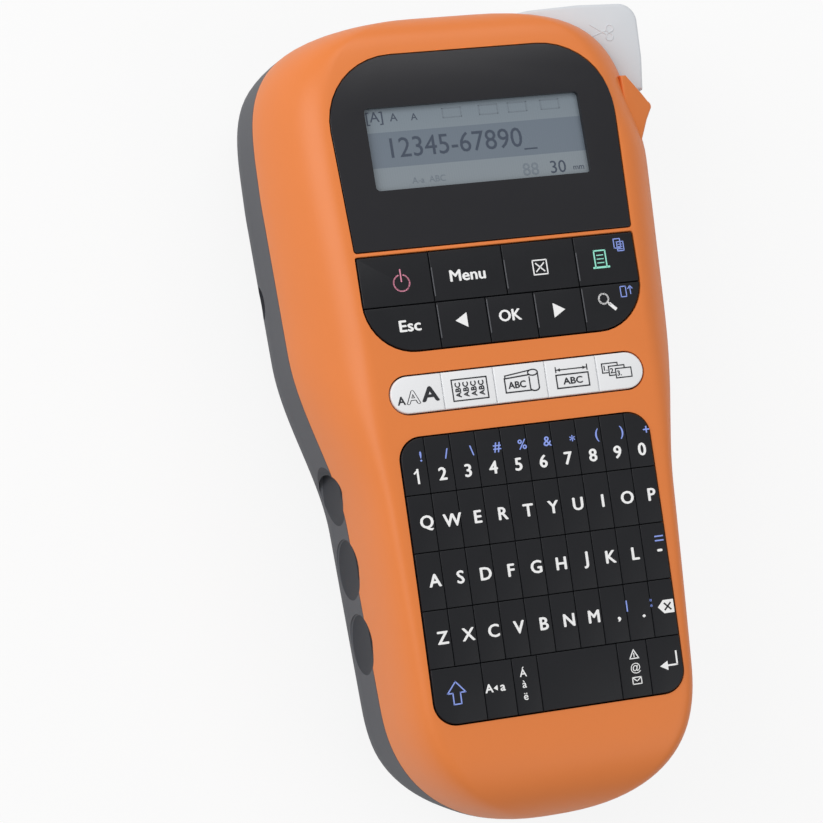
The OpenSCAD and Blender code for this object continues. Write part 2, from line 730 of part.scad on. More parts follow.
module dc_jack() {
  color("black")
    difference() {
      block([-47.2, jack_at[0] - 5, jack_at[1] - 5], [-39.4, jack_at[0] + 5, deck_z[0]]);
      translate([-49, jack_at[0], jack_at[1]]) rotate([0, 90, 0])
        difference() {
          cylinder(h = 8, r = 2.8);
          cylinder(h = 9, r = 0.9);
        }
    }
}
module case_screws() {
  color("silver")
    for (p = screw_at)
      difference() {
        union() {
          bore(p, screw_seat_z - 1.6, screw_seat_z, screw_head_r);
          bore(p, screw_seat_z - 0.1, screw_seat_z + screw_len, screw_r);
        }
        for (a = [0, 90])
          translate([p.x, p.y, screw_seat_z - 1.6]) rotate([0, 0, a])
            cube([2.8, 0.6, 1.6], center = true);
      }
}

front_shell();
rear_shell();
back_cover();
display_panel();
lcd_module();
lcd_ribbon();
key_mat();
function_key(0, 0);  // key_power
function_key(0, 1);  // key_menu
function_key(0, 2);  // key_clear
function_key(0, 3);  // key_print
function_key(1, 0);  // key_escape
function_key(1, 1);  // key_left
function_key(1, 2);  // key_ok
function_key(1, 3);  // key_right
function_key(1, 4);  // key_preview
label_key(0);  // label_key_size
label_key(1);  // label_key_style
label_key(2);  // label_key_frame
label_key(3);  // label_key_length
label_key(4);  // label_key_number
key_row(0);  // keys_digits
key_row(1);  // keys_upper_row
key_row(2);  // keys_home_row
key_row(3);  // keys_lower_row
character_key(4, bottom_row[0], bottom_row[1]);  // key_shift
character_key(4, bottom_row[1], bottom_row[2]);  // key_caps
character_key(4, bottom_row[2], bottom_row[3]);  // key_accent
character_key(4, bottom_row[3], bottom_row[4]);  // key_space
character_key(4, bottom_row[4], bottom_row[5]);  // key_symbol
character_key(4, bottom_row[5], bottom_row[6]);  // key_enter
main_board();
board_parts();
chassis();
battery_tray();
gear_plate();
motor();
motor_pinion();
idler_gear();
idler_pin();
platen_gear();
platen_shaft();
platen_roller();
takeup_spindle();
print_head();
head_heatsink();
tape_cassette();
tape_spool();
label_tape();
cutter_lever();
lever_pin();
lever_spring();
cutter_blade();
cutter_anvil();
exit_guide();
battery_cells();
battery_contacts();
dc_jack();
case_screws();
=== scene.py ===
import math

import bmesh
import bpy
from mathutils import Matrix, Vector


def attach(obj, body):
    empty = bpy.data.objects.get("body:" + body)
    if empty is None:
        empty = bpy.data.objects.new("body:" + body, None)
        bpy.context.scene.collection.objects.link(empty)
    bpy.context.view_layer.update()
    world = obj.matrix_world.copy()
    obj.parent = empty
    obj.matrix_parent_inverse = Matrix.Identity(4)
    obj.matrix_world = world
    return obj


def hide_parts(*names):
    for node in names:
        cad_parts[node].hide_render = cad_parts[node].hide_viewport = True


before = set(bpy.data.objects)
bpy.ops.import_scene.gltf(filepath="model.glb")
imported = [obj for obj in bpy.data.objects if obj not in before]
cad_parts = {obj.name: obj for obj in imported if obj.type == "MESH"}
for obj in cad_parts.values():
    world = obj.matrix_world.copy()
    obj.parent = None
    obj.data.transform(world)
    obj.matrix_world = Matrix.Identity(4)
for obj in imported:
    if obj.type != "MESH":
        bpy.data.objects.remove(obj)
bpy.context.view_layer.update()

MM = 0.001
SEAM, WALL, DEPTH = 33.0, 2.2, 59.0
TOP, LOW = 105.0, -104.0
MID_Y, HALF_L = (TOP + LOW) / 2, (TOP - LOW) / 2
SCOOP_Y = (-15, -34.5, -54)  # the finger scoops along each side


# ---------------------------------------------------------------- finishes


def srgb(r, g, b):
    def lin(c):
        c /= 255
        return c / 12.92 if c < 0.04045 else ((c + 0.055) / 1.055) ** 2.4

    return (lin(r), lin(g), lin(b), 1)


class Val:
    """A number over the surface. Python's operators on it add Math nodes."""

    def __init__(self, look, socket):
        self.look, self.socket = look, socket

    def math(self, kind, a, b=0.0):
        return self.look.node("ShaderNodeMath", {"operation": kind}, {0: a, 1: b})

    def __add__(self, o):
        return self.math("ADD", self, o)

    def __sub__(self, o):
        return self.math("SUBTRACT", self, o)

    def __mul__(self, o):
        return self.math("MULTIPLY", self, o)

    def __truediv__(self, o):
        return self.math("DIVIDE", self, o)

    def __lt__(self, o):
        return self.math("LESS_THAN", self, o)

    def __gt__(self, o):
        return self.math("GREATER_THAN", self, o)

    def abs(self):
        return self.math("ABSOLUTE", self)

    def clip(self):
        return self.math("MINIMUM", self.math("MAXIMUM", self, 0.0), 1.0)


class Look:
    """One material: a Principled surface and the nodes that vary it."""

    def __init__(self, name):
        self.material = bpy.data.materials.new(name)
        self.material.use_nodes = True
        self.tree = self.material.node_tree
        self.surface = self.tree.nodes["Principled BSDF"]

    def node(self, kind, settings=None, values=None, out=0):
        made = self.tree.nodes.new(kind)
        for key, value in (settings or {}).items():
            setattr(made, key, value)
        for key, value in (values or {}).items():
            self.feed(made.inputs[key], value)
        return Val(self, made.outputs[out])

    def feed(self, socket, value):
        if isinstance(value, Val):
            self.tree.links.new(value.socket, socket)
        else:
            socket.default_value = value

    def set(self, **values):
        for key, value in values.items():
            self.feed(self.surface.inputs[key.replace("_", " ")], value)
        return self

    def place(self, stretch=(1, 1, 1)):
        spot = self.node("ShaderNodeTexCoord", out=3)
        if stretch == (1, 1, 1):
            return spot
        return self.node("ShaderNodeMapping", values={"Vector": spot, "Scale": stretch})

    def noise(self, scale, detail=3.0, stretch=(1, 1, 1), roughness=0.5):
        values = {"Vector": self.place(stretch), "Scale": scale}
        values |= {"Detail": detail, "Roughness": roughness}
        return self.node("ShaderNodeTexNoise", values=values)

    def axes(self):
        split = self.tree.nodes.new("ShaderNodeSeparateXYZ")
        self.feed(split.inputs[0], self.place())
        return [Val(self, split.outputs[i]) for i in range(3)]

    def mix(self, share, a, b):
        made = self.tree.nodes.new("ShaderNodeMix")
        made.data_type = "RGBA"
        for i, value in ((0, share), (6, a), (7, b)):
            self.feed(made.inputs[i], value)
        return Val(self, made.outputs[2])

    def bump(self, height, distance, strength=1.0):
        values = {"Height": height, "Distance": distance, "Strength": strength}
        return self.node("ShaderNodeBump", values=values)


def dim(colour, k):
    """A colour made darker or lighter by a factor."""
    return (colour[0] * k, colour[1] * k, colour[2] * k, 1)


def moulded(
    name, colour, rough=0.42, grain=1800, depth=0.00001, tint=0.06, coat=0.0, spread=0.08, shine=0.5
):
    """Injection-moulded plastic: fine spark-eroded grain, slight tone and gloss drift."""
    look = Look(name)
    drift = look.noise(35, 2.0)
    fine = look.noise(grain, 2.0)
    wear = look.noise(260, 4.0, roughness=0.65)
    tone = (drift * 0.6 + wear * 0.4).clip()
    look.set(
        Base_Color=look.mix(tone, dim(colour, 1 - tint), dim(colour, 1 + tint)),
        Roughness=wear * spread + (rough - spread / 2),
        Normal=look.bump(fine, depth),
        Specular_IOR_Level=shine,
    )
    if coat:
        look.set(Coat_Weight=coat, Coat_Roughness=0.08)
    return look


def brushed(name, colour, rough=0.32, stretch=(40, 1, 1)):
    look = Look(name)
    lines = look.noise(900, 3.0, stretch)
    blotch = look.noise(120, 3.0)
    look.set(
        Base_Color=look.mix(blotch, dim(colour, 0.85), colour),
        Metallic=1.0,
        Roughness=lines * 0.25 + (rough - 0.12),
        Normal=look.bump(lines, 0.000006),
    )
    return look


def grey_shell():
    """Rear shell plastic, coarser in the finger scoops, with painted shade darkening them."""
    look = moulded("rear_grey", srgb(78, 80, 86), 0.5, 1500, 0.000018)
    x, y, z = look.axes()
    inside = 0.0
    for centre in SCOOP_Y:
        across = (y - centre * MM) / 0.0078
        up = (z - 0.0272) / 0.0085
        inside = ((across * across + up * up) < 1.0) + inside
    side = (x.abs() > 0.035) * inside
    base = look.surface.inputs["Base Color"].links[0].from_socket
    knurl = look.noise(4200, 1.0)
    look.set(
        # The scoops' darker colour is painted shade in the recesses; their higher roughness is real.
        Base_Color=look.mix(side, Val(look, base), srgb(52, 54, 60)),
        Roughness=side * 0.2 + 0.48,
        Normal=look.bump(knurl, 0.00002),
    )
    return look


def board_green():
    look = Look("board_green")
    pattern = {"Vector": look.place(), "Scale": 260.0, "Mortar Size": 0.09}
    pattern |= {"Color1": srgb(14, 74, 42), "Color2": srgb(18, 84, 48), "Mortar": srgb(30, 118, 66)}
    tracks = look.node("ShaderNodeTexBrick", {"offset": 0.37, "squash": 1.0}, pattern)
    fine = look.noise(700, 2.0)
    look.set(Base_Color=tracks, Roughness=fine * 0.12 + 0.3, Normal=look.bump(fine, 0.00001))
    return look


def cell_sleeve():
    look = Look("cell_sleeve")
    _, y, _ = look.axes()
    rub = look.noise(300, 4.0)
    wrap = look.mix(y > -0.0345, srgb(38, 60, 104), srgb(176, 178, 182))
    base = look.mix(rub * 0.25, wrap, srgb(120, 124, 130))
    look.set(Base_Color=base, Roughness=rub * 0.2 + 0.22, Metallic=0.35)
    return look


def display_grey():
    """Reflective display: painted shade darkening it towards the top, a darker text band and a faint dot
    matrix.
    """
    look = Look("display_grey")
    low_y, height, text_y, text_half = 0.0577, 0.0226, 0.06915, 0.0046
    _, y, _ = look.axes()
    painted_top_shade = ((y - low_y) / height).clip()
    band = (y - text_y).abs() < text_half
    waves = {"wave_type": "BANDS", "bands_direction": "X"}
    dots = look.node("ShaderNodeTexWave", waves, {"Vector": look.place(), "Scale": 480.0})
    # Painted shade: the display is darker towards the top, where the frame's edge shades it.
    base = look.mix(painted_top_shade, srgb(140, 149, 156), srgb(126, 138, 148))
    base = look.mix(band * 0.75, base, srgb(104, 116, 130))
    base = look.mix(dots * 0.06, base, srgb(96, 106, 118))
    cloud = look.noise(90, 2.0)
    look.set(Base_Color=base, Roughness=cloud * 0.08 + 0.22, Coat_Weight=0.4, Coat_Roughness=0.05)
    return look


orange = moulded("front_orange", srgb(238, 134, 66), 0.4, 1500, 0.000006, 0.03, 0.0, 0.08, 0.4)
grey = grey_shell()
gloss_black = moulded("panel_black", srgb(36, 36, 40), 0.3, 900, 0.000001, 0.05, 0.0, 0.05, 0.35)
key_black = moulded("key_black", srgb(27, 28, 32), 0.42, 1300, 0.000012, 0.1, 0.0, 0.14, 0.3)
# A lighter grey for the beads between function keys: a painted highlight on their edges.
rib_highlight_grey = moulded("rib_highlight_grey", srgb(84, 85, 90), 0.4, 1300, 0.000006, 0.2)
key_white = moulded("key_white", srgb(246, 247, 249), 0.4, 1300, 0.000006, 0.01)
lever_pale = moulded("lever_pale", srgb(224, 228, 233), 0.42, 1400, 0.000008, 0.02)
print_white = moulded("print_white", srgb(255, 255, 255), 0.5, 2600, 0.000002, 0.0)
print_blue = moulded("print_blue", srgb(150, 172, 250), 0.5, 2600, 0.000002, 0.04)
print_pink = moulded("print_pink", srgb(236, 150, 176), 0.5, 2600, 0.000002, 0.04)
print_mint = moulded("print_mint", srgb(160, 246, 222), 0.5, 2600, 0.000002, 0.04)
print_dark = moulded("print_dark", srgb(38, 40, 46), 0.5, 2600, 0.000002, 0.06)
lcd_ink = moulded("display_ink", srgb(66, 76, 92), 0.4, 2600, 0.000001, 0.08)
lcd_ghost = moulded("display_ghost", srgb(118, 128, 138), 0.4, 2600, 0.000001, 0.04)
lcd_face = display_grey()
# Near-black for the lip seen through the seam: painted shade in the joint between the shells.
seam_shade_lip = moulded("seam_shade_black", srgb(14, 14, 16), 0.6, 1500, 0.000008, 0.1)
frame_grey = moulded("frame_grey", srgb(176, 178, 176), 0.5, 1400, 0.000015, 0.05)
gear_cream = moulded("gear_cream", srgb(226, 220, 200), 0.38, 1500, 0.000006, 0.04)
cassette_grey = moulded("cassette_grey", srgb(98, 102, 110), 0.34, 1500, 0.000008, 0.06, 0.1)
tape_white = moulded("tape_white", srgb(236, 236, 232), 0.3, 3000, 0.000002, 0.02, 0.2)
flex_amber = moulded("flex_amber", srgb(150, 84, 30), 0.28, 2200, 0.000004, 0.12, 0.3)
rubber = moulded("roller_rubber", srgb(36, 36, 38), 0.7, 2600, 0.00002, 0.14)
mat_rubber = moulded("mat_rubber", srgb(58, 58, 62), 0.62, 2200, 0.000014, 0.12)
chip_black = moulded("chip_black", srgb(30, 30, 33), 0.46, 3200, 0.000006, 0.12)
ceramic = moulded("ceramic_white", srgb(226, 224, 218), 0.22, 2600, 0.000003, 0.03, 0.3)
steel = brushed("steel_brushed", srgb(190, 192, 196))
bright = brushed("blade_ground", srgb(208, 210, 214), 0.2, (1, 1, 30))
alloy = brushed("aluminium_sawn", srgb(200, 202, 206), 0.4)
brass = brushed("brass_turned", srgb(206, 168, 92), 0.28, (1, 1, 40))
pcb = board_green()
sleeve = cell_sleeve()

CARRIED = {
    "lcd_ribbon": flex_amber, "key_mat": mat_rubber, "main_board": pcb, "board_parts": chip_black,
    "chassis": frame_grey, "battery_tray": frame_grey, "gear_plate": steel,
    "motor": steel, "motor_pinion": brass,
    "idler_gear": gear_cream, "idler_pin": steel, "platen_gear": gear_cream, "platen_shaft": steel,
    "platen_roller": rubber, "takeup_spindle": gear_cream, "print_head": ceramic, "head_heatsink": alloy,
    "tape_cassette": cassette_grey, "tape_spool": tape_white, "label_tape": tape_white,
    "lever_pin": steel, "lever_spring": steel, "cutter_blade": bright, "cutter_anvil": ceramic,
    "battery_cells": sleeve, "battery_contacts": steel, "dc_jack": chip_black, "case_screws": steel,
}
for node, look in CARRIED.items():
    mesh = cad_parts[node].data
    mesh.materials.clear()
    mesh.materials.append(look.material)


# ---------------------------------------------------------------- mesh helpers


def piece(name, bm, look, body, replaces=(), smooth=32):
    """A finished piece: its mesh in metres, its material and body; the CAD parts it replaces are hidden.
    """
    bmesh.ops.scale(bm, vec=(MM,) * 3, verts=bm.verts)
    mesh = bpy.data.meshes.new(name)
    bm.to_mesh(mesh)
    bm.free()
    mesh.materials.clear()
    mesh.materials.append(look.material)
    mesh.shade_smooth()
    mesh.set_sharp_from_angle(angle=math.radians(smooth))
    made = bpy.data.objects.new(name, mesh)
    bpy.context.scene.collection.objects.link(made)
    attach(made, body)
    if replaces:
        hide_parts(*replaces)


def soften(bm, edges, offset, segments):
    bmesh.ops.bevel(
        bm, geom=edges, offset=offset, segments=segments, profile=0.5, affect="EDGES", material=-1
    )


def prism(outline, z0, z1, bm=None, round_top=0.0, segments=3, matrix=None):
    """An outline drawn up from z0 to z1, its upper edge rounded."""
    bm = bm or bmesh.new()
    base = bm.faces.new([bm.verts.new((x, y, z0)) for x, y in outline])
    made = bmesh.ops.extrude_face_region(bm, geom=[base], use_keep_orig=True)["geom"]
    top = [g for g in made if isinstance(g, bmesh.types.BMVert)]
    bmesh.ops.translate(bm, vec=(0, 0, z1 - z0), verts=top)
    ring = set(top)
    faces = {f for v in ring for f in v.link_faces} | {base}
    bmesh.ops.recalc_face_normals(bm, faces=list(faces))
    if round_top:
        edges = [e for e in bm.edges if e.verts[0] in ring and e.verts[1] in ring]
        soften(bm, edges, round_top, segments)
    if matrix:
        bmesh.ops.transform(bm, matrix=matrix, verts=bm.verts)
    return bm


def box(bm, lo, hi, matrix=None):
    size = [b - a for a, b in zip(lo, hi)]
    mid = [(a + b) / 2 for a, b in zip(lo, hi)]
    place = Matrix.Translation(mid) @ Matrix.Diagonal((*size, 1))
    bmesh.ops.create_cube(bm, size=1, matrix=(matrix @ place) if matrix else place)


def rod(bm, p, q, r, segments=24):
    p, q = Vector(p), Vector(q)
    turn = (q - p).to_track_quat("Z", "Y").to_matrix().to_4x4()
    place = Matrix.Translation((p + q) / 2) @ turn
    size = {"radius1": r, "radius2": r, "depth": (q - p).length}
    bmesh.ops.create_cone(bm, cap_ends=True, segments=segments, matrix=place, **size)


INK = 0.05  # thickness of printed line work


def stroke(bm, points, width, z, closed=False):
    """Printed line work: flat bars along the points."""
    pairs = list(zip(points, points[1:] + points[:1] if closed else points[1:]))
    for (x0, y0), (x1, y1) in pairs:
        a = math.atan2(y1 - y0, x1 - x0)
        span = math.hypot(x1 - x0, y1 - y0) + width * 0.9
        place = Matrix.Translation(((x0 + x1) / 2, (y0 + y1) / 2, z)) @ Matrix.Rotation(a, 4, "Z")
        bmesh.ops.create_cube(bm, size=1, matrix=place @ Matrix.Diagonal((span, width, INK, 1)))


def circle(x, y, r, n=28, a0=0.0, a1=360.0):
    """Points around a circle, or along an arc of it when it stops short of a full turn."""
    turns = [math.radians(a0 + (a1 - a0) * i / n) for i in range(n + (a1 - a0 < 360))]
    return [(x + r * math.cos(a), y + r * math.sin(a)) for a in turns]


CAP_SHARE = 0.729  # height of the built-in font's capitals, as a share of its size
BOLDER = ((-1, 0), (1, 0), (0, 1), (0, -1))


def lettering(bm, words, x, y, z, cap, weight=0.0, turn=0.0, squeeze=1.0):
    """Words centred on (x, y), with capitals of the given height. Bold is four shifted copies."""
    curve = bpy.data.curves.new("words", "FONT")
    curve.body, curve.size = words, cap / CAP_SHARE
    curve.align_x, curve.align_y = "CENTER", "CENTER"
    curve.extrude, curve.resolution_u = 0.025, 3
    holder = bpy.data.objects.new("words", curve)
    mesh = bpy.data.meshes.new_from_object(holder)
    xs = [v.co.x for v in mesh.vertices]
    ys = [v.co.y for v in mesh.vertices]
    middle = Vector(((min(xs) + max(xs)) / 2, (min(ys) + max(ys)) / 2, 0))
    place = Matrix.Translation((x, y, z)) @ Matrix.Rotation(math.radians(turn), 4, "Z")
    mesh.transform(place @ Matrix.Diagonal((squeeze, 1, 1, 1)) @ Matrix.Translation(-middle))
    for step, (dx, dy) in enumerate(BOLDER if weight > 0.03 else ((0, 0),)):
        shift = Vector((dx * weight * 0.9, dy * weight * 0.6, 0.012 * step))
        mesh.transform(Matrix.Translation(shift))
        bm.from_mesh(mesh)
        mesh.transform(Matrix.Translation(-shift))
    bpy.data.objects.remove(holder)
    bpy.data.curves.remove(curve)
    bpy.data.meshes.remove(mesh)


def arc(cx, cy, r, a0, n=10):
    return circle(cx, cy, r, n, a0, a0 + 90)


def rounded(x0, x1, y0, y1, low_r, high_r):
    """A rectangle's outline with one radius for its lower corners and one for its upper."""
    rb, rt = max(low_r, 0.2), max(high_r, 0.2)
    right = arc(x1 - rb, y0 + rb, rb, -90) + arc(x1 - rt, y1 - rt, rt, 0)
    return right + arc(x0 + rt, y1 - rt, rt, 90) + arc(x0 + rb, y0 + rb, rb, 180)


def clipped(outline, x0, x1, y0, y1):
    """The part of an outline inside a cell."""
    for axis, sign, limit in ((0, 1, x0), (0, -1, x1), (1, 1, y0), (1, -1, y1)):
        kept = []
        for a, b in zip(outline, outline[1:] + outline[:1]):
            da, db = sign * (a[axis] - limit), sign * (b[axis] - limit)
            if da >= 0:
                kept.append(a)
            if da * db < 0:
                t = da / (da - db)
                kept.append((a[0] + (b[0] - a[0]) * t, a[1] + (b[1] - a[1]) * t))
        outline = kept
    return [p for p, q in zip(outline, outline[-1:] + outline[:-1]) if math.dist(p, q) > 0.02]


# ---------------------------------------------------------------- casing form


GRIP_HALF_W, GRIP_Y, GRIP_TAPER = 40.1, -67, 0.045
HEAD_HALF_W, HEAD_Y, HEAD_TAPER = 53, 62, 0.04
WAIST = (-24, 22)  # the shoulder between grip and head

# Length and squareness of the curves that close the head and the grip.
HEAD_PLAN, GRIP_PLAN = (38, 3.5), (34, 2.4)
HEAD_FACE, GRIP_FACE = (12, 3.4), (22, 2.9)
HEAD_BACK, GRIP_BACK = (15, 2), (24, 2)

# The rounding along the face, at the grip and the head, and along the back.
EDGE_W, EDGE_N = (7, 14.3), (2.9, 1.75)
BACK_W, BACK_H = 16, 21

CROWN_Y, CROWN_R = -26, 1525  # the face bulges along the length
CORNER_Y, CORNER_SPAN = 64, 18  # where the head's right side starts to draw in


def lerp(a, b, t):
    return a + (b - a) * t


def ease(t):
    t = min(max(t, 0), 1)
    return t * t * (3 - 2 * t)


def closing(t, n):
    return 1 if t <= 0 else max(1 - min(t, 1) ** n, 0) ** (1 / n)


def ends(size, y, head, grip):
    """A size at y, drawn in by the closing curves of both ends."""
    size *= closing((y - TOP + head[0]) / head[0], head[1])
    return size * closing((LOW + grip[0] - y) / grip[0], grip[1])


def shoulder(y):
    return ease((y - WAIST[0]) / (WAIST[1] - WAIST[0]))


def half_w(y):
    grip = GRIP_HALF_W + GRIP_TAPER * (y - GRIP_Y)
    head = HEAD_HALF_W - HEAD_TAPER * max(0, HEAD_Y - y)
    return ends(lerp(grip, head, shoulder(y)), y, HEAD_PLAN, GRIP_PLAN)


def crown(y):
    return DEPTH - (y - CROWN_Y) ** 2 / (2 * CROWN_R)


def face_z(y):
    return SEAM + ends(crown(y) - SEAM, y, HEAD_FACE, GRIP_FACE)


def back_z(y):
    return SEAM * (1 - ends(1, y, HEAD_BACK, GRIP_BACK))


ARC = 16  # steps in each rounding of a cross-section


def half_ring(y, inset, corner):
    """One side of a cross-section, from the back's middle to the face's middle."""
    full = half_w(y) - corner * ease((y - CORNER_Y) / CORNER_SPAN)
    hw = max(full - inset, 0.4)
    flat_f = min(max(full - lerp(*EDGE_W, shoulder(y)), 0), hw)
    flat_b = min(max(full - BACK_W, 0), hw)
    n = lerp(*EDGE_N, shoulder(y))
    zf = max(face_z(y) - inset, SEAM + 0.2)
    zb = min(back_z(y) + inset, SEAM - 0.2)
    zr = min(zb + BACK_H - inset, SEAM - 0.1)
    turns = [math.pi / 2 * i / ARC for i in range(ARC + 1)]
    back = [(max(flat_b * k / 3, 0), zb) for k in (0.3, 1.2, 2.1)]
    low = [(lerp(flat_b, hw, math.sin(a)), lerp(zr, zb, math.cos(a))) for a in turns]
    round_x = [lerp(flat_f, hw, max(math.cos(a), 0) ** (2 / n)) for a in turns]
    high = [(x, lerp(SEAM, zf, math.sin(a) ** (2 / n))) for x, a in zip(round_x, turns)]
    return back + low + high + [(flat_f * k / 3, zf) for k in (2.1, 1.2, 0.3)]


END, MIDDLE = 26, 64  # cross-sections in each end and between them
LOW_END, TOP_END = LOW + GRIP_PLAN[0], TOP - HEAD_PLAN[0]
STATIONS = (
    [LOW_END - 33.99 * math.cos(math.pi / 2 * i / END) for i in range(END + 1)]
    + [lerp(LOW_END, TOP_END, i / (MIDDLE + 1)) for i in range(1, MIDDLE + 1)]
    + [TOP_END + 37.99 * math.sin(math.pi / 2 * i / END) for i in range(END + 1)]
)
CUT, CROP = "DIFFERENCE", "INTERSECT"


def casing(inset=0.0, corner=0.0):
    """The whole casing's skin, drawn in by an inset; corner narrows the head's right side."""
    bm = bmesh.new()
    loop = None
    for y in STATIONS:
        left, right = half_ring(y, inset, 0), half_ring(y, inset, corner)
        at = MID_Y + (y - MID_Y) * (HALF_L - inset) / HALF_L
        points = [(x, at, z) for x, z in right] + [(-x, at, z) for x, z in reversed(left)]
        if loop is None:
            loop = bmesh.ops.create_circle(bm, segments=len(points), radius=1)["verts"]
            bmesh.ops.contextual_create(bm, geom=loop)
        else:
            steps = zip(loop, loop[1:] + loop[:1])
            edges = [e for v, w in steps for e in v.link_edges if e.other_vert(v) is w]
            made = bmesh.ops.extrude_edge_only(bm, edges=edges)["geom"]
            fresh = {g for g in made if isinstance(g, bmesh.types.BMVert)}
            near = [[e.other_vert(v) for e in v.link_edges] for v in loop]
            loop = [next(v for v in others if v in fresh) for others in near]
        for v, p in zip(loop, points):
            v.co = p
    bmesh.ops.contextual_create(bm, geom=loop)
    bmesh.ops.remove_doubles(bm, verts=bm.verts, dist=0.002)
    bmesh.ops.dissolve_degenerate(bm, edges=bm.edges, dist=0.001)
    bmesh.ops.triangulate(bm, faces=bm.faces)
    bmesh.ops.recalc_face_normals(bm, faces=bm.faces)
    return bm


def carve(bm, steps):
    """The mesh after its cuts and crops, still in millimetres."""
    work = bpy.data.objects.new("work", bpy.data.meshes.new("work"))
    bm.to_mesh(work.data)
    bm.free()
    bpy.context.scene.collection.objects.link(work)
    tools = []
    for kind, cutter in steps:
        bmesh.ops.recalc_face_normals(cutter, faces=cutter.faces)
        tool = bpy.data.objects.new("tool", bpy.data.meshes.new("tool"))
        cutter.to_mesh(tool.data)
        cutter.free()
        bpy.context.scene.collection.objects.link(tool)
        tool.hide_render = True
        step = work.modifiers.new("step", "BOOLEAN")
        step.operation, step.object, step.solver = kind, tool, "EXACT"
        tools.append(tool)
    done = bmesh.new()
    done.from_object(work, bpy.context.evaluated_depsgraph_get())
    for o in tools + [work]:
        bpy.data.objects.remove(o)
    bmesh.ops.remove_doubles(done, verts=done.verts, dist=0.0004)
    return done


def on_face(y):
    """Lays a flat drawing on the bulged face, touching it at y."""
    tilt = Matrix.Rotation(math.atan(-(y - CROWN_Y) / CROWN_R), 4, "X")
    return Matrix.Translation((0, y, crown(y))) @ tilt @ Matrix.Translation((0, -y, 0))


def solid(*boxes):
    bm = bmesh.new()
    for lo, hi in boxes:
        box(bm, lo, hi)
    return bm


PANEL_Y, BAR_Y = 68.45, 42.7
KEYPAD_HALF_W, KEYPAD_TOP = 34, -4.5
PITCH_X, PITCH_Y = 6.8, 14.5
SCREWS = ((-33, 95.4), (41, 50), (-39, 8), (39, 8), (-28, -83.2), (28, -83.2))

# Each outline is widened all round by g.


def panel_outline(g):
    shape = rounded(-38.6 - g, 38.6 + g, 43.3 - g, 93.6 + g, 0.6 + g, 19 + g)
    return [(x * (1 + 0.0009 * (y - 72)), y) for x, y in shape]


def pad_outline(g):
    return rounded(-37.8 - g, 37.8 + g, 16.9 - g, 42.1 + g, 13 + g, 0.6 + g)


def strip_outline(g):
    return rounded(0.3 - 34.6 - g, 0.3 + 34.6 + g, 1.2 - g, 11.2 + g, 5 + g, 5 + g)


def keypad_outline(g):
    half = KEYPAD_HALF_W + g
    return rounded(-half, half, -77 - g, KEYPAD_TOP + g, 6 + g, 6 + g)


def cover_outline(g):
    side = []
    for i in range(41):
        y = lerp(-77.5, 86, i / 40)
        side.append((half_w(y) - 8 + g, y + (-g if i == 0 else g if i == 40 else 0)))
    return side + [(-x, y) for x, y in reversed(side)]


def scoops():
    bm = bmesh.new()
    for side in (-1, 1):
        for y in SCOOP_Y:
            place = Matrix.Translation((side * (half_w(y) + 0.2), y, SEAM - 5.5))
            place = place @ Matrix.Diagonal((1.5, 8.2, 9.5, 1))
            bmesh.ops.create_uvsphere(bm, u_segments=40, v_segments=28, radius=1, matrix=place)
    return bm


def lever_window():
    return solid(((13, 87, 19.6), (60, 120, 43.4)))


def lever_window_side():
    return solid(((40, 75.4, 19.6), (60, 120, 43.4)))


